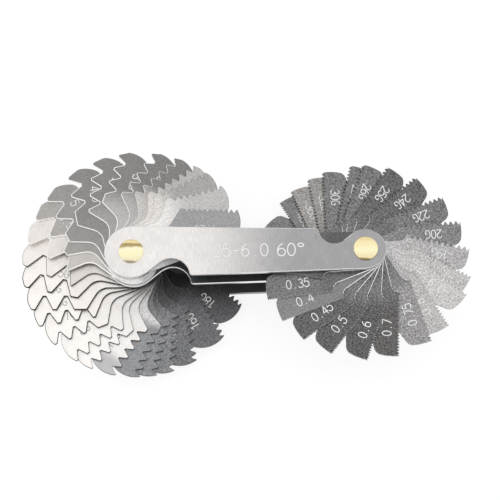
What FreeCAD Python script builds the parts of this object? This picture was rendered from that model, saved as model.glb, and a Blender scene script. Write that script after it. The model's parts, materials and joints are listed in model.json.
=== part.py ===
import FreeCAD, Part
import math
import os

# Thread pitch gauge: three handle plates riveted together at both ends,
# with 26 fold-out toothed blades on each rivet.
# All sizes in millimetres.
# Frame: origin on the coarse rivet axis, in the flat of its lower head.
# +Z runs up the stack, +X toward the fine rivet, +Y across the handle.

# ---------------------------------------------------------------- sizes
pivot_spacing = 54.6        # coarse rivet axis to fine rivet axis

plate_thickness = 1.0       # front, middle and back plates alike
plate_edge_chamfer = 0.15   # broken edge round both faces of a plate
coarse_end_radius = 6.3     # rounded end of a plate at the coarse rivet
fine_end_radius = 4.85      # rounded end of a plate at the fine rivet

coarse_notch_radius = 4.3   # finger notch beside the coarse rivet
coarse_notch_offset = 0.5   # from its scoop to the circle of the plate's end
fine_notch_radius = 3.6     # finger notch beside the fine rivet
fine_notch_offset = 0.34
notch_lip_radius = 0.8      # rounding where a notch meets the long edge

rivet_shank_radius = 1.6
rivet_head_radius = 2.87
rivet_head_height = 0.8
rivet_face_radius = 2.0     # flat in the middle of each domed head
rivet_head_rim = 0.2        # upright rim round the foot of the dome
rivet_head_bulge = 0.12     # how far the dome swells out of a plain cone

metric_blade_thickness = 0.47
inch_blade_thickness = 0.53
layer_gap = 0.04            # air between neighbouring layers of the stack
pivot_clearance = 0.03      # blade hole radius minus shank radius

# Blade outline, in blade coordinates: u runs from the pivot along the
# toothed edge, v runs from the pivot toward that edge.
coarse_boss_radius = 6.0
coarse_crest_line = 11.25   # v of the crests of the teeth
coarse_neck_slope = 0.0     # degrees, neck edge against the toothed edge
coarse_shoulder_start = 11.0  # u where the crest line begins
coarse_shoulder_angle = 60.0
coarse_shoulder_fillet = 3.3
coarse_tip_centre_u = 18.75  # centre and radius of the rounded blade end
coarse_tip_centre_v = 8.0
coarse_tip_radius = 6.5
coarse_back_u = 23.0        # a point the straight back edge passes through
coarse_back_v = 3.35
coarse_back_corner = 1.2

fine_boss_radius = 4.6
fine_crest_line = 8.6
fine_neck_slope = 14.0
fine_shoulder_start = 8.95
fine_shoulder_angle = 80.0
fine_shoulder_fillet = 2.0
fine_tip_centre_u = 12.2
fine_tip_centre_v = 6.8
fine_tip_radius = 12.1
fine_back_u = 21.5
fine_back_v = 2.4
fine_back_corner = 2.0

# Thread forms: included angle in degrees and tooth depth over pitch.
metric_thread = (60.0, 0.61)
inch_thread = (55.0, 0.65)
crest_share = 0.6           # share of the flats that lies on the crests

# Last crest centre: this far past where the crest line meets the rounded end
# of the blade, less a share of one pitch.
metric_last_crest = (0.25, 0.30)
inch_last_crest = (0.6, 0.25)
last_crest_rounding = 0.15  # radius over pitch where the last crest turns outward
tip_blend = 2.0             # radius where its outer flank runs into the rounded end
least_flank = 0.1           # a crest that ends nearer than this to the end runs out into it

inch = 25.4
cut_overrun = 1.0           # how far a cutter passes a face that it cuts through

# ------------------------------------------------- blades, top to bottom
# (name, pitch, opening angle of the toothed edge measured from +X)
coarse_metric = [
    ("1.25", 1.25, -2.1),
    ("1.5", 1.5, 13.7),
    ("1.75", 1.75, 24.6),
    ("2.0", 2.0, 31.9),
    ("2.5", 2.5, 43.1),
    ("3.0", 3.0, 55.4),
    ("3.5", 3.5, 72.9),
    ("4.0", 4.0, 87.2),
    ("4.5", 4.5, 102.3),
    ("5.0", 5.0, 118.2),
    ("5.5", 5.5, 130.0),
    ("6.0", 6.0, 143.2),
]
coarse_inch = [
    ("4", inch / 4, 155.5),
    ("4.5", inch / 4.5, 167.2),
    ("5", inch / 5, 179.8),
    ("6", inch / 6, 189.4),
    ("7", inch / 7, 201.5),
    ("8", inch / 8, 215.3),
    ("9", inch / 9, 223.9),
    ("10", inch / 10, 235.9),
    ("11", inch / 11, 248.1),
    ("12", inch / 12, 256.8),
    ("13", inch / 13, 265.8),
    ("14", inch / 14, 278.6),
    ("16", inch / 16, 297.8),
    ("18", inch / 18, 317.5),
]
fine_metric = [
    ("0.25", 0.25, 161.0),
    ("0.3", 0.3, 169.5),
    ("0.35", 0.35, 187.3),
    ("0.4", 0.4, 200.8),
    ("0.45", 0.45, 215.5),
    ("0.5", 0.5, 231.4),
    ("0.6", 0.6, 250.1),
    ("0.7", 0.7, 266.6),
    ("0.75", 0.75, 286.0),
    ("0.8", 0.8, 298.8),
    ("0.9", 0.9, 318.6),
    ("1.0", 1.0, 329.2),
]
fine_inch = [
    ("19", inch / 19, 346.5),
    ("20", inch / 20, 362.6),
    ("22", inch / 22, 379.9),
    ("24", inch / 24, 398.3),
    ("25", inch / 25, 414.8),
    ("26", inch / 26, 427.9),
    ("28", inch / 28, 435.0),
    ("30", inch / 30, 450.8),
    ("32", inch / 32, 459.9),
    ("36", inch / 36, 471.2),
    ("40", inch / 40, 479.9),
    ("48", inch / 48, 497.0),
    ("60", inch / 60, 508.0),
    ("62", inch / 62, 516.0),
]


# -------------------------------------------------------------- helpers
def vec(x, y, z=0.0):
    return FreeCAD.Vector(x, y, z)


def polar(radius, angle):
    """Point at a radius and an angle in degrees."""
    a = math.radians(angle)
    return vec(radius * math.cos(a), radius * math.sin(a))


def extrude(edges, height):
    """Solid of the given height on the closed outline."""
    wire = Part.Wire(Part.__sortEdges__(edges))
    return Part.Face(wire).extrude(vec(0, 0, height))


def arc(start, middle, end):
    return Part.Arc(start, middle, end).toShape()


def line(start, end):
    return Part.makeLine(start, end)


def fillet_upright(solid, x, y, radius):
    """Round the upright edge that stands at x, y."""
    picked = []
    for edge in solid.Edges:
        ends = [v.Point for v in edge.Vertexes]
        if len(ends) < 2 or abs(ends[0].z - ends[1].z) < 1e-6:
            continue
        if math.hypot(ends[0].x - x, ends[0].y - y) < 0.05:
            picked.append(edge)
    return solid.makeFillet(radius, picked)


def circle_cross(cu, cv, radius, v):
    """Larger u at which a circle reaches the height v."""
    return cu + math.sqrt(radius ** 2 - (v - cv) ** 2)


# --------------------------------------------------------------- plates
def finger_notch(notch_radius, offset, end_radius, other_end_radius):
    """Points of the notch below y = 0, for an end centred on the origin.

    A round scoop sits on the long edge. The corner between it and the
    rounded end is taken off along a straight flank, tangent to both.
    Returns the flank's two ends, the scoop's deepest point and its lip.
    """
    span = end_radius + notch_radius + offset
    lean = math.asin((end_radius - other_end_radius) / pivot_spacing)
    # the long edge lies at y = -(high - drop * x)
    high = end_radius / math.cos(lean)
    drop = math.tan(lean)
    square = 1 + drop ** 2
    reach = (high * drop + math.sqrt((high * drop) ** 2 - square * (high ** 2 - span ** 2))) / square
    centre = vec(reach, drop * reach - high)
    toward = math.degrees(math.atan2(centre.y, centre.x))
    open_angle = math.degrees(math.acos((end_radius + notch_radius) / span))
    on_end = polar(end_radius, toward - open_angle)
    on_scoop = centre - polar(notch_radius, toward - open_angle)
    deepest = centre + polar(notch_radius, math.degrees(lean) + 90)
    lip = centre + polar(notch_radius, math.degrees(lean))
    return on_end, on_scoop, deepest, lip


def handle_plate():
    """One plate with its lower face at z = 0."""
    lean = math.degrees(math.asin((coarse_end_radius - fine_end_radius) / pivot_spacing))
    top_left = polar(coarse_end_radius, 90 - lean)
    low_right = vec(pivot_spacing, 0) + polar(fine_end_radius, lean - 90)
    on_left, low_scoop, low_deep, low_lip = finger_notch(
        coarse_notch_radius, coarse_notch_offset, coarse_end_radius, fine_end_radius)
    # the fine end's notch lies across the long edge on the other side
    fine_notch = finger_notch(
        fine_notch_radius, fine_notch_offset, fine_end_radius, coarse_end_radius)
    on_right, high_scoop, high_deep, high_lip = [
        vec(pivot_spacing - p.x, -p.y) for p in fine_notch]
    outline = [
        arc(top_left, vec(-coarse_end_radius, 0), on_left),
        line(on_left, low_scoop),
        arc(low_scoop, low_deep, low_lip),
        line(low_lip, low_right),
        arc(low_right, vec(pivot_spacing + fine_end_radius, 0), on_right),
        line(on_right, high_scoop),
        arc(high_scoop, high_deep, high_lip),
        line(high_lip, top_left),
    ]
    plate = extrude(outline, plate_thickness)
    plate = fillet_upright(plate, low_lip.x, low_lip.y, notch_lip_radius)
    plate = fillet_upright(plate, high_lip.x, high_lip.y, notch_lip_radius)
    rims = []
    for edge in plate.Edges:
        ends = [v.Point for v in edge.Vertexes]
        if all(abs(p.z - ends[0].z) < 1e-6 for p in ends):
            rims.append(edge)
    plate = plate.makeChamfer(plate_edge_chamfer, rims)
    for x in (0, pivot_spacing):
        hole = Part.makeCylinder(
            rivet_shank_radius, plate_thickness + 2 * cut_overrun, vec(x, 0, -cut_overrun))
        plate = plate.cut(hole)
    return plate


# --------------------------------------------------------------- rivets
def rivet(length):
    """Rivet along Z; the lower head's flat lies at z = 0."""
    r = rivet_head_radius
    h = rivet_head_height
    rim = rivet_head_rim
    top = length
    middle_r = 0.5 * (r + rivet_face_radius) + rivet_head_bulge
    side = [
        line(vec(0, 0, 0), vec(rivet_face_radius, 0, 0)),
        arc(vec(rivet_face_radius, 0, 0), vec(middle_r, 0, 0.35 * (h - rim)), vec(r, 0, h - rim)),
        line(vec(r, 0, h - rim), vec(r, 0, h)),
        line(vec(r, 0, h), vec(rivet_shank_radius, 0, h)),
        line(vec(rivet_shank_radius, 0, h), vec(rivet_shank_radius, 0, top - h)),
        line(vec(rivet_shank_radius, 0, top - h), vec(r, 0, top - h)),
        line(vec(r, 0, top - h), vec(r, 0, top - h + rim)),
        arc(vec(r, 0, top - h + rim), vec(middle_r, 0, top - 0.35 * (h - rim)),
            vec(rivet_face_radius, 0, top)),
        line(vec(rivet_face_radius, 0, top), vec(0, 0, top)),
        line(vec(0, 0, top), vec(0, 0, 0)),
    ]
    profile = Part.Face(Part.Wire(side))
    return profile.revolve(vec(0, 0, 0), vec(0, 0, 1), 360)


# --------------------------------------------------------------- blades
def flank_foot(top, slant, cu, cv, radius):
    """Where a line from top, leaning outward by slant, leaves a circle about cu, cv."""
    # along the line: u = top.x + slant * fall, v = top.y - fall
    a = 1 + slant ** 2
    b = slant * (top.x - cu) - (top.y - cv)
    c = (top.x - cu) ** 2 + (top.y - cv) ** 2 - radius ** 2
    fall = (-b + math.sqrt(b ** 2 - a * c)) / a
    return vec(top.x + slant * fall, top.y - fall)


def blade_body(boss, crest, neck_slope, start, shoulder_angle, shoulder_fillet,
               tip_u, tip_v, tip_radius, back_u, back_v, back_corner,
               last_end, slant, rounding, thickness):
    """Blade without grooves, lower face at z = 0, toothed edge along u.

    last_end is where the last crest ends. Its outer flank leans by slant.
    """
    # back edge: tangent to the boss, through the given point
    reach = math.hypot(back_u, back_v)
    slope = math.atan2(back_v, back_u) + math.asin(boss / reach)
    boss_low = vec(boss * math.sin(slope), -boss * math.cos(slope))
    # where the back edge meets the tip circle
    du, dv = math.cos(slope), math.sin(slope)
    off_u, off_v = boss_low.x - tip_u, boss_low.y - tip_v
    b = off_u * du + off_v * dv
    c = off_u ** 2 + off_v ** 2 - tip_radius ** 2
    along = -b + math.sqrt(b * b - c)
    corner = vec(boss_low.x + along * du, boss_low.y + along * dv)
    # the last crest's outer flank, where the crest ends inside the tip circle
    crest_end = vec(circle_cross(tip_u, tip_v, tip_radius, crest), crest)
    tip_top = crest_end
    if last_end < crest_end.x - least_flank:
        crest_end = vec(last_end, crest)
        tip_top = flank_foot(crest_end, slant, tip_u, tip_v, tip_radius)
    middle_v = 0.5 * (tip_top.y + corner.y)
    tip_middle = vec(circle_cross(tip_u, tip_v, tip_radius, middle_v), middle_v)
    # neck edge: tangent to the boss, meets the shoulder line
    neck = math.radians(neck_slope)
    boss_top = vec(-boss * math.sin(neck), boss * math.cos(neck))
    steep = math.radians(shoulder_angle)
    shoulder_top = vec(start, crest)
    top = math.tan(steep)
    low = math.tan(neck)
    meet_u = (crest - top * start - (boss_top.y - low * boss_top.x)) / (low - top)
    meet = vec(meet_u, boss_top.y + low * (meet_u - boss_top.x))
    outline = [
        arc(boss_top, vec(-boss, 0), boss_low),
        line(boss_low, corner),
        arc(corner, tip_middle, tip_top),
        line(crest_end, shoulder_top),
        line(shoulder_top, meet),
        line(meet, boss_top),
    ]
    if tip_top != crest_end:
        outline.insert(3, line(tip_top, crest_end))
    body = extrude(outline, thickness)
    if tip_top != crest_end:
        body = fillet_upright(body, tip_top.x, tip_top.y, tip_blend)
        body = fillet_upright(body, crest_end.x, crest_end.y, rounding)
    body = fillet_upright(body, corner.x, corner.y, back_corner)
    return fillet_upright(body, meet.x, meet.y, shoulder_fillet)


def crest_half(pitch, thread):
    """Half the width of the flat on a tooth's crest."""
    angle, depth_ratio = thread
    flats = pitch * (1 - 2 * depth_ratio * math.tan(math.radians(angle / 2)))
    return 0.5 * crest_share * flats


def tooth_gaps(pitch, thread, last, start, crest, thickness):
    """Cutters for the thread grooves inward of the last crest's centre."""
    angle, depth_ratio = thread
    depth = depth_ratio * pitch
    lean = math.tan(math.radians(angle / 2))
    root_half = crest_half(pitch, thread) * (1 - crest_share) / crest_share
    mouth_half = root_half + depth * lean
    over = 0.2 * depth
    over_half = mouth_half + over * lean
    u = last - 0.5 * pitch
    cutters = []
    while u - mouth_half > start:
        points = [
            vec(u - over_half, crest + over, -cut_overrun),
            vec(u - root_half, crest - depth, -cut_overrun),
            vec(u + root_half, crest - depth, -cut_overrun),
            vec(u + over_half, crest + over, -cut_overrun),
            vec(u - over_half, crest + over, -cut_overrun),
        ]
        tall = vec(0, 0, thickness + 2 * cut_overrun)
        cutters.append(Part.Face(Part.makePolygon(points)).extrude(tall))
        u -= pitch
    return cutters


def blade(pitch, angle, x, z, thread, last_crest, thickness, coarse):
    """Finished blade, turned to its opening angle at its place in the stack."""
    if coarse:
        crest, start = coarse_crest_line, coarse_shoulder_start
        neck = (coarse_neck_slope, start, coarse_shoulder_angle, coarse_shoulder_fillet)
        tip = (coarse_tip_centre_u, coarse_tip_centre_v, coarse_tip_radius)
        back = (coarse_back_u, coarse_back_v, coarse_back_corner)
        boss = coarse_boss_radius
    else:
        crest, start = fine_crest_line, fine_shoulder_start
        neck = (fine_neck_slope, start, fine_shoulder_angle, fine_shoulder_fillet)
        tip = (fine_tip_centre_u, fine_tip_centre_v, fine_tip_radius)
        back = (fine_back_u, fine_back_v, fine_back_corner)
        boss = fine_boss_radius
    last = circle_cross(*tip, crest) + last_crest[0] - last_crest[1] * pitch
    flank = (last + crest_half(pitch, thread), math.tan(math.radians(thread[0] / 2)),
             last_crest_rounding * pitch)
    solid = blade_body(boss, crest, *neck, *tip, *back, *flank, thickness)
    solid = solid.cut(tooth_gaps(pitch, thread, last, start, crest, thickness))
    hole = Part.makeCylinder(
        rivet_shank_radius + pivot_clearance, thickness + 2 * cut_overrun, vec(0, 0, -cut_overrun))
    solid = solid.cut(hole)
    solid.rotate(vec(0, 0), vec(0, 0, 1), angle)
    solid.translate(vec(x, 0, z))
    return solid


# ---------------------------------------------------------------- build
os.makedirs("parts", exist_ok=True)


def save(shape, name):
    """Write one solid; a dot in a pitch label becomes an underscore."""
    solids = shape.Solids
    if len(solids) != 1:
        raise ValueError(name + " is not one solid")
    solids[0].exportStep("parts/" + name.replace(".", "_") + ".step")


inch_step = inch_blade_thickness + layer_gap
metric_step = metric_blade_thickness + layer_gap

back_z = rivet_head_height
inch_z = back_z + plate_thickness + layer_gap
middle_z = inch_z + len(coarse_inch) * inch_step
metric_z = middle_z + plate_thickness + layer_gap
front_z = metric_z + len(coarse_metric) * metric_step
overall_height = front_z + plate_thickness + rivet_head_height

plate = handle_plate()
for name, z in (("back_plate", back_z), ("middle_plate", middle_z), ("front_plate", front_z)):
    placed = plate.copy()
    placed.translate(vec(0, 0, z))
    save(placed, name)

for name, x in (("coarse_rivet", 0), ("fine_rivet", pivot_spacing)):
    placed = rivet(overall_height)
    placed.translate(vec(x, 0, 0))
    save(placed, name)

for coarse, x, group in ((True, 0, coarse_metric), (False, pivot_spacing, fine_metric)):
    for i, (label, pitch, angle) in enumerate(group):
        z = metric_z + (len(group) - 1 - i) * metric_step
        solid = blade(pitch, angle, x, z, metric_thread, metric_last_crest,
                      metric_blade_thickness, coarse)
        save(solid, "metric_blade_" + label)

for coarse, x, group in ((True, 0, coarse_inch), (False, pivot_spacing, fine_inch)):
    for i, (label, pitch, angle) in enumerate(group):
        z = inch_z + (len(group) - 1 - i) * inch_step
        solid = blade(pitch, angle, x, z, inch_thread, inch_last_crest,
                      inch_blade_thickness, coarse)
        save(solid, "inch_blade_" + label)
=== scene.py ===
import json
import math

import bmesh
import bpy
from mathutils import Matrix, Vector
from mathutils.geometry import delaunay_2d_cdt


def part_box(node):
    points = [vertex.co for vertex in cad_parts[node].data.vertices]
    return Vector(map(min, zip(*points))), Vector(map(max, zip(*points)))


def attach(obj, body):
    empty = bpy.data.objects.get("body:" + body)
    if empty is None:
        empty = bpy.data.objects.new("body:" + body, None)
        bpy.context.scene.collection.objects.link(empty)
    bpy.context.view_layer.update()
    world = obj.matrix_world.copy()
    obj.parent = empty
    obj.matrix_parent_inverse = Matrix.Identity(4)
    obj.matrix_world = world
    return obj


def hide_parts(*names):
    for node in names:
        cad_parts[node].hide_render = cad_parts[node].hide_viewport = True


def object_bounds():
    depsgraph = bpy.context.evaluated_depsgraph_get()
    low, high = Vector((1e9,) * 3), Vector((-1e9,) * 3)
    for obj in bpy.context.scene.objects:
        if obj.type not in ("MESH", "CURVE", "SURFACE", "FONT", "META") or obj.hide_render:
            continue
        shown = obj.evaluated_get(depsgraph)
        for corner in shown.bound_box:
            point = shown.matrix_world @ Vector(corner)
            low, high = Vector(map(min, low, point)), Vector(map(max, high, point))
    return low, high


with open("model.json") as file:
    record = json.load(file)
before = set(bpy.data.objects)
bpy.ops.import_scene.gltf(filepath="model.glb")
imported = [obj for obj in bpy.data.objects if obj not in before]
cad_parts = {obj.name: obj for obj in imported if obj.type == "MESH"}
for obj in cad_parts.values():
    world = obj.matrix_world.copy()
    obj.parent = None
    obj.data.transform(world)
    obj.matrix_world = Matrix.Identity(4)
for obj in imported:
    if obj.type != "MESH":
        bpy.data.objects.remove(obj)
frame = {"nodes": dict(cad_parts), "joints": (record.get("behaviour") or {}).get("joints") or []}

# Thread pitch gauge, fanned open on a white table.
# The steel sheets are rebuilt from their solids with broken edges and
# engraved numbers, and the rivets are turned afresh from their sizes.
# Lengths are in metres; sizes along a blade are given in millimetres.
mm = 0.001
cad_low, cad_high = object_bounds()


# ---------------------------------------------------------------- the frame
def middle(node):
    low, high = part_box(node)
    return (low + high) / 2


coarse_pivot = middle("coarse_rivet").xy
fine_pivot = middle("fine_rivet").xy
front_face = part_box("front_plate")[1].z
closed_angle = {"coarse": -21.9, "fine": 159.8}   # toothed edge when folded away


class Blade:
    """What a blade's joint says: its node, label, end, pivot and opening angle."""

    def __init__(self, joint):
        self.node = joint["child"]
        self.kind, _, label = self.node.partition("_blade_")
        self.label = label.replace("_", ".")
        self.pivot = Vector(joint["pos_m"]).xy
        self.end = "coarse" if (self.pivot - coarse_pivot).length < mm else "fine"
        self.angle = closed_angle[self.end] - joint["range_deg"][0]
        self.pitch = float(self.label) if self.kind == "metric" else 25.4 / float(self.label)


blades = [Blade(joint) for joint in frame["joints"]]


# ----------------------------------------------------------------- lettering
def bow(cx, cy, rx, ry, start, end, steps=10):
    """Points along an elliptic arc, angles in degrees."""
    points = []
    for i in range(steps + 1):
        a = math.radians(start + (end - start) * i / steps)
        points.append((cx + rx * math.cos(a), cy + ry * math.sin(a)))
    return points


cell_width = 0.6        # of a character, where its height is 1
letter_share = 0.78     # share of the advance that a character takes

# Pen strokes of each character, in its cell.
six = [bow(0.3, 0.3, 0.3, 0.3, 0, 360, 16), bow(0.56, 0.36, 0.56, 0.64, 105, 180, 5)]
strokes = {
    "0": [bow(0.3, 0.5, 0.3, 0.5, 0, 360, 20)],
    "1": [[(0.08, 0.78), (0.36, 1), (0.36, 0)]],
    "2": [bow(0.3, 0.7, 0.3, 0.3, 165, -40, 8) + [(0, 0), (0.6, 0)]],
    "3": [bow(0.28, 0.75, 0.27, 0.25, 150, -90, 8), bow(0.28, 0.26, 0.32, 0.26, 90, -150, 8)],
    "4": [[(0.46, 0), (0.46, 1), (0, 0.28), (0.62, 0.28)]],
    "5": [[(0.55, 1), (0.08, 1), (0.04, 0.56)] + bow(0.27, 0.33, 0.33, 0.33, 115, -150, 9)],
    "6": six,
    "7": [[(0, 1), (0.6, 1), (0.2, 0)]],
    "8": [bow(0.3, 0.76, 0.25, 0.24, 0, 360, 14), bow(0.3, 0.26, 0.3, 0.26, 0, 360, 16)],
    "9": [[(0.6 - x, 1 - y) for x, y in line] for line in six],
    "G": [bow(0.32, 0.5, 0.32, 0.5, 48, 318, 14) + [(0.58, 0.44), (0.34, 0.44)]],
    ".": [[(0.3, 0.0), (0.3, 0.05)]],
    "-": [[(0.08, 0.46), (0.52, 0.46)]],
    "\N{DEGREE SIGN}": [bow(0.26, 0.86, 0.22, 0.14, 0, 360, 10)],
}


def capsule(a, b, radius, steps=4):
    """Outline of one straight pen stroke with round ends, counter-clockwise."""
    along = math.atan2(b.y - a.y, b.x - a.x)
    outline = []
    for centre, start in ((b, along - math.pi / 2), (a, along + math.pi / 2)):
        for i in range(steps + 1):
            turn = start + math.pi * i / steps
            outline.append(centre + radius * Vector((math.cos(turn), math.sin(turn))))
    return outline


def lettering(text, height, advance, pen):
    """Stroke outlines of a text centred on the origin, in millimetres."""
    width = letter_share * advance
    left = -0.5 * ((len(text) - 1) * advance + width)
    shapes = []
    for i, character in enumerate(text):
        for line in strokes.get(character, []):
            points = [Vector((left + i * advance + x / cell_width * width, (y - 0.5) * height))
                      for x, y in line]
            shapes += [capsule(a, b, pen / 2) for a, b in zip(points, points[1:])]
    return shapes


# -------------------------------------------------------------- sheet pieces
face_side, mark_side, edge_side = 0, 1, 2      # material places on every sheet
deepest_bevel = 0.1 * mm
under_bevel = 0.04 * mm
engraving_depth = 0.05 * mm
engraving_slope = 0.28     # width of an engraving's side wall over the pen's
tightest_mitre = 0.35      # keeps a bevel short at sharp corners


def cap_rings(bm, height):
    """Rims of the flat faces at a height, outermost first, and those faces."""
    flat = [f for f in bm.faces if all(abs(v.co.z - height) < 1e-6 for v in f.verts)]
    members = set(flat)
    following = {}
    for face in flat:
        for loop in face.loops:
            if sum(f in members for f in loop.edge.link_faces) == 1:
                following[loop.vert] = loop.link_loop_next.vert
    rings = []
    while following:
        ring, corner = [], next(iter(following))
        while corner in following:
            ring.append(corner)
            corner = following.pop(corner)
        rings.append(ring)
    rings.sort(key=lambda ring: -max((v.co - ring[0].co).length for v in ring))
    return rings, flat


def inset(points, widths):
    """The corners of a counter-clockwise outline moved inward, mitred."""
    moved = []
    for i, here in enumerate(points):
        before = (here - points[i - 1]).normalized()
        after = (points[(i + 1) % len(points)] - here).normalized()
        inward = Vector((-before.y - after.y, before.x + after.x)).normalized()
        square = max(inward.dot(Vector((-after.y, after.x))), tightest_mitre)
        moved.append(here + inward * widths[i] / square)
    return moved


def break_edge(bm, ring, height, width_at, up):
    """Bevel one rim: its corners sink and a new rim lies inside them."""
    order = ring if up else ring[::-1]
    outline = [v.co.xy for v in order]
    widths = [width_at(point) for point in outline]
    inner = [bm.verts.new((p.x, p.y, height)) for p in inset(outline, widths)]
    for v, width in zip(order, widths):
        drop = min(width, deepest_bevel)
        v.co.z += -drop if up else drop
    for i in range(len(order)):
        j = (i + 1) % len(order)
        quad = [order[i], order[j], inner[j], inner[i]]
        bm.faces.new(quad if up else quad[::-1])
    return inner


def fill_cap(bm, rings, shapes, origin, height, up):
    """Close a flat face between its rims. Returns its plain and its marked faces."""
    corners = [v for ring in rings for v in ring]
    points = [(v.co.xy - origin) / mm for v in corners]
    outlines = []
    for ring in rings:
        start = sum(len(o) for o in outlines)
        outline = list(range(start, start + len(ring)))
        corner_pairs = zip([outline[-1]] + outline, outline)
        area = sum(points[a].cross(points[b]) for a, b in corner_pairs)
        outlines.append(outline if area > 0 else outline[::-1])
    for shape in shapes:
        outlines.append(list(range(len(points), len(points) + len(shape))))
        points += shape
    where, _, triangles, sources, _, owners = delaunay_2d_cdt(points, [], outlines, 0, 1e-6)
    made = {}
    plain, marked = [], []
    for triangle, owner in zip(triangles, owners):
        holes = any(0 < o < len(rings) for o in owner)
        if 0 not in owner or holes:
            continue
        for i in triangle:
            if i not in made:
                old = [s for s in sources[i] if s < len(corners)]
                place = origin + where[i] * mm
                made[i] = corners[old[0]] if old else bm.verts.new((place.x, place.y, height))
        face = bm.faces.new([made[i] for i in (triangle if up else triangle[::-1])])
        (marked if any(o >= len(rings) for o in owner) else plain).append(face)
    return plain, marked


def sheet(node, origin, angle, grain_and_painted_light, width_at, top_shapes, under_shapes, pen):
    """A steel sheet rebuilt from its solid, in blade or plate coordinates.

    Its fourth argument gives the point attributes at a place on the sheet:
    grain, and colours and levels that are painted reflection, painted shade and
    painted highlight; width_at gives the width of its broken edge there, or is
    None where the solid has one.
    """
    low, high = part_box(node)
    turn = Matrix.Rotation(-math.radians(angle), 2)
    bm = bmesh.new()
    bm.from_mesh(frame["nodes"][node].data)
    bmesh.ops.remove_doubles(bm, verts=bm.verts, dist=1e-7)
    flats, marked = [], []
    for height, up, shapes in ((high.z, True, top_shapes), (low.z, False, under_shapes)):
        rings, flat = cap_rings(bm, height)
        bmesh.ops.delete(bm, geom=flat, context="FACES_ONLY")
        if width_at:
            def width(point):
                wide = width_at((turn @ (point - origin)) / mm) * mm
                return wide if up else min(wide, under_bevel)
            rings[0] = break_edge(bm, rings[0], height, width, up)
        plain, cut = fill_cap(bm, rings, shapes, origin, height, up)
        flats += plain + cut
        marked += cut
    for face in bm.faces:
        face.material_index = edge_side
    for face in flats:
        face.material_index = face_side
    if marked:
        sunk = bmesh.ops.inset_region(bm, faces=marked, thickness=engraving_slope * pen * mm,
                                      depth=-engraving_depth, use_even_offset=True)
        for face in marked + sunk["faces"]:
            face.material_index = mark_side
    names = ("place", "near", "far", "change", "trim")
    layers = [bm.verts.layers.float_vector.new(name) for name in names]
    for v in bm.verts:
        flat = (turn @ (v.co.xy - origin)) / mm
        height = (v.co.z - low.z) / mm
        sunken = min(high.z - v.co.z, v.co.z - low.z) > 0.9 * engraving_depth
        values = [(flat.x, flat.y, height)] + grain_and_painted_light(flat, v.co.z > (low.z + high.z) / 2, sunken)
        for layer, value in zip(layers, values):
            v[layer] = value
    mesh = bpy.data.meshes.new(node)
    bm.to_mesh(mesh)
    bm.free()
    piece = bpy.data.objects.new(node + "_steel", mesh)
    bpy.context.scene.collection.objects.link(piece)
    return piece


# ----------------------------------------------------------------- materials
def linear(level):
    """Light value of a display level from 0 to 1."""
    return ((level + 0.055) / 1.055) ** 2.4 if level > 0.04045 else level / 12.92


class Nodes:
    """Small helper that adds and links the nodes of one material."""

    def __init__(self, name):
        self.material = bpy.data.materials.new(name)
        self.material.use_nodes = True
        self.tree = self.material.node_tree
        self.shader = self.tree.nodes["Principled BSDF"]
        self.output = self.tree.nodes["Material Output"]

    def add(self, kind, **settings):
        node = self.tree.nodes.new("ShaderNode" + kind)
        for name, value in settings.items():
            setattr(node, name, value)
        return node

    def link(self, a, b):
        self.tree.links.new(a, b)

    def math(self, operation, a, b):
        node = self.add("Math", operation=operation)
        for socket, value in zip(node.inputs, (a, b)):
            if isinstance(value, (int, float)):
                socket.default_value = value
            else:
                self.link(value, socket)
        return node.outputs[0]

    def read(self, attribute):
        """The three parts of a point attribute."""
        source = self.add("Attribute", attribute_name=attribute)
        parts = self.add("SeparateXYZ")
        self.link(source.outputs["Vector"], parts.inputs[0])
        return source.outputs["Vector"], parts.outputs

    def noise(self, vector, stretch, detail=2.0, roughness=0.6):
        """Noise about 0, from -1 to 1, its grain stretched by three scales."""
        scale = self.add("VectorMath", operation="MULTIPLY")
        scale.inputs[1].default_value = stretch
        self.link(vector, scale.inputs[0])
        noise = self.add("TexNoise")
        noise.inputs["Scale"].default_value = 1.0
        noise.inputs["Detail"].default_value = detail
        noise.inputs["Roughness"].default_value = roughness
        self.link(scale.outputs[0], noise.inputs["Vector"])
        centred = self.math("SUBTRACT", noise.outputs["Fac"], 0.5)
        return self.math("MULTIPLY", centred, 2.0)

    def shade(self, colour, level):
        """A colour made lighter or darker by a level."""
        scaled = self.add("VectorMath", operation="SCALE")
        self.link(colour, scaled.inputs[0])
        self.link(level, scaled.inputs["Scale"])
        return scaled.outputs[0]

    def metal(self, colour, metallic, roughness):
        self.link(colour, self.shader.inputs["Base Color"])
        self.shader.inputs["Metallic"].default_value = metallic
        self.shader.inputs["Roughness"].default_value = roughness
        return self.material


def steel(name, grain_scales, roughness):
    """Satin sheet steel, from its painted reflection and shade colour near the pivot to the one
    far from it.
    """
    n = Nodes(name)
    place, (along, _, _) = n.read("place")
    near, _ = n.read("near")
    far, _ = n.read("far")
    _, (start, end, grain) = n.read("change")
    speckle = n.noise(place, grain_scales, detail=3.0, roughness=0.7)
    cloud = n.noise(place, (0.3, 0.3, 0.3), detail=3.0)
    blend = n.add("MapRange", interpolation_type="SMOOTHSTEP")
    n.link(n.math("ADD", along, n.math("MULTIPLY", cloud, 1.5)), blend.inputs["Value"])
    n.link(start, blend.inputs["From Min"])
    n.link(end, blend.inputs["From Max"])
    colour = n.add("Mix", data_type="RGBA")
    n.link(blend.outputs["Result"], colour.inputs["Factor"])
    n.link(near, colour.inputs["A"])
    n.link(far, colour.inputs["B"])
    level = n.math("ADD", 1.0, n.math("MULTIPLY", speckle, grain))
    level = n.math("ADD", level, n.math("MULTIPLY", cloud, 0.12))
    level = n.math("MAXIMUM", level, 0.15)
    return n.metal(n.shade(colour.outputs["Result"], level), 1.0, roughness)


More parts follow.
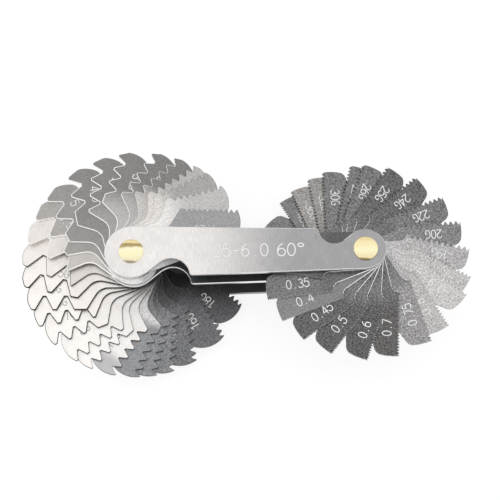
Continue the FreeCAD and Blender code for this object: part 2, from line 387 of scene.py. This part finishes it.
def trim(name, part, metallic, roughness, grained):
    """A cut edge or an engraving, with the level that its point attribute gives: a painted
    highlight or painted shade.
    """
    n = Nodes(name)
    place, _ = n.read("place")
    _, levels = n.read("trim")
    _, (_, _, grain) = n.read("change")
    speckle = n.noise(place, (2.6, 2.6, 2.6), detail=1.0)
    share = n.math("MULTIPLY", speckle, n.math("MULTIPLY", grain, grained))
    level = n.math("MULTIPLY", levels[part], n.math("MAXIMUM", n.math("ADD", 1.0, share), 0.2))
    white = n.add("RGB")
    white.outputs[0].default_value = (1, 1, 1, 1)
    return n.metal(n.shade(white.outputs[0], level), metallic, roughness)


rivet_low, rivet_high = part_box("coarse_rivet")
rivet_reach = (rivet_high - rivet_low).x / 2 / mm      # radius of a rivet's head


def brass(name, bands):
    """Brass with a painted reflection of soft light and dark bands across the head, front to
    back.
    """
    n = Nodes(name)
    place, (_, across, _) = n.read("place")
    wander = n.noise(place, (0.5, 0.5, 0.5))
    ramp = n.add("ValToRGB")
    ramp.color_ramp.interpolation = "EASE"
    for position, colour in bands:
        stop = ramp.color_ramp.elements.new(position)
        stop.color = [linear(c) for c in colour] + [1]
    ramp.color_ramp.elements.remove(ramp.color_ramp.elements[0])
    ramp.color_ramp.elements.remove(ramp.color_ramp.elements[-1])
    spread = n.add("MapRange")
    n.link(n.math("ADD", across, n.math("MULTIPLY", wander, 0.5)), spread.inputs["Value"])
    spread.inputs["From Min"].default_value = -rivet_reach
    spread.inputs["From Max"].default_value = rivet_reach
    n.link(spread.outputs["Result"], ramp.inputs["Fac"])
    return n.metal(ramp.outputs["Color"], 1.0, 0.22)


blade_steel = steel("blade_steel", (2.4, 2.4, 2.4), 0.42)
plate_steel = steel("plate_steel", (5.0, 0.5, 3.0), 0.38)
# Cut edges: white at a painted level, a highlight on the bright ones and shadow lines on the
# dark ones. Engravings: a painted highlight on the floor, painted shade on the walls.
cut_edge = trim("cut_edge", 0, 1.0, 0.35, 1.2)
engraving = trim("engraving", 1, 0.0, 0.7, 0.3)
# The bands of each rivet head are a painted reflection: light and dark stripes that stand for
# the studio mirrored in the dome.
polished_brass_painted_bands = brass("polished_brass_painted_bands", [
    (0.03, (0.66, 0.60, 0.50)), (0.12, (0.97, 0.93, 0.78)), (0.38, (1.0, 0.97, 0.80)),
    (0.58, (1.0, 0.98, 0.84)), (0.69, (0.74, 0.66, 0.47)), (0.76, (0.66, 0.58, 0.40)),
    (0.87, (0.96, 0.90, 0.70)), (0.97, (0.90, 0.82, 0.62))])
matt_brass_painted_bands = brass("matt_brass_painted_bands", [
    (0.03, (0.60, 0.52, 0.36)), (0.10, (0.96, 0.90, 0.72)), (0.40, (1.0, 0.97, 0.80)),
    (0.70, (0.98, 0.92, 0.73)), (0.97, (0.92, 0.84, 0.64))])


# -------------------------------------------------------------------- blades
# Look of the blades round each fan, at opening angles in degrees. The tones
# and warmths are painted reflection: each blade is lighter or darker by how it
# mirrors the studio at its angle, and the change from near to far tone is the
# handle's painted shade and reflection on it. Faces:
# (angle, tone near the pivot, tone far out, warmth near, warmth far,
#  where the tone starts and ends to change, in mm from the pivot, grain)
coarse_faces = [
    (-1, 0.80, 0.64, 0.6, 0.4, 6, 9, 0.7), (14, 0.93, 0.76, 0.8, 0.7, 8, 17, 0.6),
    (23, 0.88, 0.67, 0.9, 0.7, 9, 16, 0.7), (32, 0.87, 0.72, 1.0, 0.9, 9, 16, 0.6),
    (44, 0.78, 0.52, 0.9, 0.7, 10, 17, 0.6), (55, 0.72, 0.52, 0.8, 0.7, 9, 16, 0.5),
    (71, 0.74, 0.54, 0.8, 0.8, 9, 16, 0.45), (102, 0.58, 0.56, 0.8, 0.8, 9, 16, 0.45),
    (118, 0.60, 0.61, 0.9, 0.9, 9, 16, 0.4), (131, 0.64, 0.69, 1.0, 1.0, 9, 16, 0.4),
    (144, 0.78, 0.90, 1.0, 1.0, 10, 19, 0.2), (156, 0.88, 0.94, 1.0, 1.0, 11, 18, 0.1),
    (168, 0.93, 0.97, 0.9, 0.9, 9, 16, 0.06), (181, 0.96, 0.98, 0.9, 0.9, 9, 16, 0.05),
    (228, 0.96, 0.98, 0.8, 0.8, 9, 16, 0.06), (237, 0.96, 0.76, 0.8, 0.5, 20, 23, 0.15),
    (247, 0.90, 0.60, 0.6, 0.2, 9, 12, 0.8), (256, 0.55, 0.58, 0.4, 0.2, 9, 12, 1.1),
    (266, 0.46, 0.55, 0.3, 0.2, 7, 10, 1.3), (280, 0.42, 0.49, 0.2, 0.2, 9, 12, 1.4),
    (299, 0.36, 0.47, 0.2, 0.2, 9, 15, 1.2), (319, 0.28, 0.44, 0.2, 0.2, 10, 16, 1.0)]
fine_faces = [
    (160, 0.40, 0.52, 0.5, 0.5, 8, 16, 0.9), (187, 0.46, 0.50, 0.5, 0.6, 9, 14, 1.5),
    (201, 0.55, 0.56, 0.5, 0.5, 9, 14, 0.9), (215, 0.50, 0.42, 0.5, 0.6, 8, 12, 2.0),
    (250, 0.50, 0.40, 0.5, 0.6, 8, 12, 2.0), (267, 0.47, 0.41, 0.4, 0.7, 9, 13, 2.0),
    (286, 0.52, 0.62, 0.5, 0.6, 7, 11, 1.8), (299, 0.72, 0.75, 0.6, 0.7, 7, 12, 1.3),
    (319, 0.78, 0.80, 0.6, 0.7, 7, 12, 1.2), (329, 0.78, 0.77, 0.6, 0.7, 7, 12, 1.3),
    (346, 0.76, 0.72, 0.6, 0.6, 7, 12, 1.4), (363, 0.56, 0.54, 0.5, 0.5, 7, 12, 1.6),
    (380, 0.47, 0.50, 0.4, 0.5, 8, 12, 1.8), (398, 0.46, 0.44, 0.4, 0.5, 8, 12, 1.9),
    (415, 0.46, 0.43, 0.4, 0.5, 8, 12, 1.9), (428, 0.50, 0.50, 0.4, 0.5, 7, 12, 1.9),
    (451, 0.50, 0.51, 0.4, 0.5, 8, 12, 1.7), (460, 0.56, 0.61, 0.7, 0.9, 9, 14, 1.4),
    (471, 0.58, 0.63, 0.7, 0.9, 9, 14, 1.3), (480, 0.50, 0.52, 0.5, 0.5, 9, 14, 1.2),
    (516, 0.50, 0.52, 0.4, 0.4, 9, 14, 1.2)]
# Edges: (angle, width of the broken edge in mm, level of the cut edge at the
# neck and at the teeth, level of the engraved number). These levels are painted
# light: bright edges and numbers are painted highlight, dark edges are painted
# shadow lines between the layers.
coarse_edges = [
    (-1, 0.06, 0.8, 0.35, 0.9), (32, 0.07, 0.8, 0.6, 0.95), (44, 0.14, 0.95, 0.9, 0.95),
    (71, 0.2, 1.0, 1.0, 0.95), (144, 0.2, 1.0, 0.95, 0.95), (156, 0.1, 0.3, 0.12, 0.8),
    (168, 0.18, 0.05, 0.05, 0.8), (191, 0.16, 0.08, 0.1, 0.8), (216, 0.08, 0.3, 0.25, 0.8),
    (237, 0.06, 0.35, 0.3, 0.8), (256, 0.06, 0.5, 0.4, 0.97), (319, 0.06, 0.4, 0.4, 0.97)]
fine_edges = [
    (160, 0.1, 0.6, 0.6, 0.97), (187, 0.14, 1.0, 0.85, 0.97), (267, 0.14, 1.0, 0.8, 0.97),
    (286, 0.06, 0.7, 0.7, 0.97), (346, 0.05, 0.8, 0.6, 0.97), (363, 0.06, 0.8, 0.4, 0.97),
    (398, 0.12, 1.0, 0.5, 0.97), (451, 0.14, 1.0, 0.6, 0.97), (516, 0.1, 0.6, 0.6, 0.97)]
shoulder = {"coarse": 11.0, "fine": 8.95}     # where the teeth begin, from the pivot
shoulder_margin = 0.3      # the neck's wider bevel ends this far before the teeth
tooth_bevel = 0.07         # broken edge round the teeth, over the pitch
# painted shade on an engraving's side walls
wall_shade = 0.7           # level of an engraving's side walls over its floor


def at_angle(looks, angle):
    """The values of a look between its two nearest entries."""
    for low, high in zip(looks, looks[1:]):
        if angle <= high[0]:
            share = max(0.0, (angle - low[0]) / (high[0] - low[0]))
            return [a + share * (b - a) for a, b in zip(low[1:], high[1:])]
    return list(looks[-1][1:])


def tinted(tone, warmth):
    """Colour of steel with a display tone, from bluish 0 to rosy 1."""
    cold, warm = (0.96, 0.985, 1.04), (1.045, 0.995, 0.95)
    return [linear(tone) * (c + warmth * (w - c)) for c, w in zip(cold, warm)]


label_height, label_advance, label_pen = 2.1, 1.4, 0.24
label_end = {"coarse": (20.0, 5.7), "fine": (19.6, 5.6)}    # its first character's place


def label_text(blade):
    number = f"{float(blade.label):g}"
    return number if blade.kind == "metric" else number + "G"


def add_blade(blade):
    turn = Matrix.Rotation(math.radians(blade.angle), 2)
    text = label_text(blade)
    centre = Vector(label_end[blade.end]) - Vector((0.5 * len(text) * label_advance, 0))
    shapes = [[turn @ (centre - p) for p in shape]
              for shape in lettering(text, label_height, label_advance, label_pen)]
    coarse = blade.end == "coarse"
    faces = at_angle(coarse_faces if coarse else fine_faces, blade.angle)
    near, far, near_warmth, far_warmth, start, end, grain = faces
    edges = at_angle(coarse_edges if coarse else fine_edges, blade.angle)
    width, neck, teeth, mark = edges
    near_colour, far_colour = tinted(near, near_warmth), tinted(far, far_warmth)

    def width_at(point):
        on_neck = point.x < shoulder[blade.end] - shoulder_margin
        return width if on_neck else min(width, tooth_bevel * blade.pitch)

    # Painted light on the blade: near and far colours are painted reflection and shade, and the
    # cut edge's and the number's levels are painted highlight or painted shadow line.
    def grain_and_painted_light(point, top, sunken):
        rim = neck if point.x < shoulder[blade.end] else teeth
        return [near_colour, far_colour, (start, end, grain),
                (linear(rim), linear(mark if sunken else wall_shade * mark), 0)]

    piece = sheet(blade.node, blade.pivot, blade.angle, grain_and_painted_light, width_at, shapes, (), label_pen)
    for material in (blade_steel, engraving, cut_edge):
        piece.data.materials.append(material)
    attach(piece, blade.node)
    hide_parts(blade.node)


# -------------------------------------------------------------------- plates
plate_pen, plate_text_height = 0.34, 3.05
# The plates' tone change along the handle is a painted reflection; plate_mark is a painted
# highlight on the floor of the handle's engravings, and plate_mark_wall is painted shade on
# their walls.
plate_change = (12, 40, 0.3)       # where the tone starts and ends to change, grain
plate_mark, plate_mark_wall = 0.97, 0.6


def add_plate(node, top, under, rim, top_shapes=(), under_shapes=()):
    """A handle plate. top and under give tone and warmth at its two ends, a painted reflection
    or painted shade; rim is the painted highlight level of its cut edges.
    """
    def grain_and_painted_light(point, above, sunken):
        near, far = top if above else under
        return [tinted(*near), tinted(*far), plate_change,
                (linear(rim), linear(plate_mark if sunken else plate_mark_wall), 0)]

    piece = sheet(node, coarse_pivot, 0, grain_and_painted_light, None, top_shapes, under_shapes, plate_pen)
    for material in (plate_steel, engraving, cut_edge):
        piece.data.materials.append(material)
    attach(piece, "handle")
    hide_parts(node)


# Tone and warmth at the two ends of a plate face: the outer faces carry a painted reflection
# from light to dark along the handle, and the faces inside the handle are darkened as painted
# shade.
satin_painted_reflection = ((0.92, 0.8), (0.66, 0.4))
shaded = ((0.47, 0.2), (0.43, 0.2))


def handle_text(parts, flip):
    """Stroke outlines of texts centred along the handle, read from above or below."""
    shapes = []
    for text, centre, advance in parts:
        for shape in lettering(text, plate_text_height, advance, plate_pen):
            placed = [Vector((centre + p.x, -p.y if flip else p.y)) for p in shape]
            shapes.append(placed[::-1] if flip else placed)
    return shapes


# -------------------------------------------------------------------- rivets
rim_share = 0.25           # height of a head's rim over the head's
shank_share = 0.55         # radius of the shank over the head's


def add_rivet(node, material):
    """Turned rivet: a low dome with a thin rim at each end of its shank."""
    low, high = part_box(node)
    centre = (low + high) / 2
    head = (high.x - low.x) / 2
    plate_low, plate_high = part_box("back_plate")[0].z, front_face
    dome = high.z - plate_high
    profile = []
    for i in range(13):
        a = math.radians(90 * i / 12)
        rise = rim_share + (1 - rim_share) * math.cos(a) ** 0.8
        profile.append((head * math.sin(a) ** 0.9, plate_high + dome * rise))
    profile.append((head, plate_high))
    profile.append((shank_share * head, plate_high))
    mirror = [(r, plate_low + plate_high - z) for r, z in reversed(profile)]
    side = profile + mirror
    steps = 64
    bm = bmesh.new()
    rings = []
    for r, z in side:
        if r < 1e-9:
            rings.append([bm.verts.new((centre.x, centre.y, z))])
            continue
        rings.append([bm.verts.new((centre.x + r * math.cos(2 * math.pi * k / steps),
                                    centre.y + r * math.sin(2 * math.pi * k / steps), z))
                      for k in range(steps)])
    for upper, lower in zip(rings, rings[1:]):
        for k in range(steps):
            j = (k + 1) % steps
            # a ring at the tip is a single point, so its corners repeat
            corners = [upper[k % len(upper)], lower[k % len(lower)],
                       lower[j % len(lower)], upper[j % len(upper)]]
            corners = list(dict.fromkeys(corners))
            if len(corners) > 2:
                bm.faces.new(corners)
    place = bm.verts.layers.float_vector.new("place")
    for v in bm.verts:
        v[place] = (v.co - centre) / mm
    bmesh.ops.recalc_face_normals(bm, faces=bm.faces)
    mesh = bpy.data.meshes.new(node)
    bm.to_mesh(mesh)
    bm.free()
    mesh.shade_smooth()
    mesh.set_sharp_from_angle(angle=math.radians(40))
    mesh.materials.append(material)
    piece = bpy.data.objects.new(node + "_turned", mesh)
    bpy.context.scene.collection.objects.link(piece)
    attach(piece, "handle")
    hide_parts(node)


# --------------------------------------------------------------------- stage
floor_reach = 1.2          # metres from the middle
floor_glow = 1.1           # just past white, as the camera and reflections see it
glow_share = 0.75          # the rest is shaded, and keeps the object's shadow


def add_floor():
    mesh = bpy.data.meshes.new("floor")
    signs = ((-1, -1), (1, -1), (1, 1), (-1, 1))
    corners = [(x * floor_reach, y * floor_reach, cad_low.z) for x, y in signs]
    mesh.from_pydata(corners, [], [(0, 1, 2, 3)])
    floor = bpy.data.objects.new("floor", mesh)
    bpy.context.scene.collection.objects.link(floor)
    n = Nodes("white_table")
    n.shader.inputs["Base Color"].default_value = (0.9, 0.9, 0.9, 1)
    n.shader.inputs["Roughness"].default_value = 0.9
    glow = n.add("Emission")
    glow.inputs["Strength"].default_value = floor_glow
    path = n.add("LightPath")
    seen = n.math("ADD", path.outputs["Is Camera Ray"], path.outputs["Is Glossy Ray"])
    seen = n.math("ADD", seen, path.outputs["Is Transmission Ray"])
    seen = n.math("MULTIPLY", n.math("MINIMUM", seen, 1.0), glow_share)
    mix = n.add("MixShader")
    n.link(seen, mix.inputs[0])
    n.link(n.shader.outputs[0], mix.inputs[1])
    n.link(glow.outputs[0], mix.inputs[2])
    n.link(mix.outputs[0], n.output.inputs["Surface"])
    mesh.materials.append(n.material)


def add_world():
    world = bpy.data.worlds.new("studio")
    world.use_nodes = True
    background = world.node_tree.nodes["Background"]
    background.inputs["Color"].default_value = (1, 1, 1, 1)
    background.inputs["Strength"].default_value = 1.0
    bpy.context.scene.world = world


# -------------------------------------------------------------------- camera
def add_camera():
    """The view from above the near long side, a little off square."""
    tilt, yaw, roll = (math.radians(a) for a in (18.68, 0.138, 0.722))
    turn = Matrix.Rotation(roll, 3, "Z") @ Matrix.Rotation(-tilt, 3, "X")
    turn = turn @ Matrix.Rotation(yaw, 3, "Y")
    distance = 320 * mm
    aside = Vector((0.67, -0.023)) * mm
    target = Vector((27 * mm, 0, front_face))
    camera = bpy.data.objects.new("camera", bpy.data.cameras.new("camera"))
    back = turn.transposed()
    camera.matrix_world = Matrix.Translation(
        target + back @ Vector((aside.x, aside.y, distance))) @ back.to_4x4()
    camera.data.lens = 99.035
    camera.data.sensor_width = 36
    camera.data.clip_start = 10 * mm
    bpy.context.scene.collection.objects.link(camera)
    bpy.context.scene.camera = camera


# --------------------------------------------------------------------- build
for blade in blades:
    add_blade(blade)
add_plate("front_plate", satin_painted_reflection, shaded, 0.9,
          handle_text([("0.25-6.0", 23.3, 2.2), ("60\N{DEGREE SIGN}", 37.3, 2.33)], False))
add_plate("middle_plate", shaded, shaded, 1.0)
add_plate("back_plate", shaded, satin_painted_reflection, 0.6, (),
          handle_text([("4-62", 21.5, 2.2), ("55\N{DEGREE SIGN}", 34.5, 2.33)], True))
add_rivet("coarse_rivet", polished_brass_painted_bands)
add_rivet("fine_rivet", matt_brass_painted_bands)
add_floor()
add_world()
add_camera()
bpy.context.scene.view_settings.view_transform = "Standard"
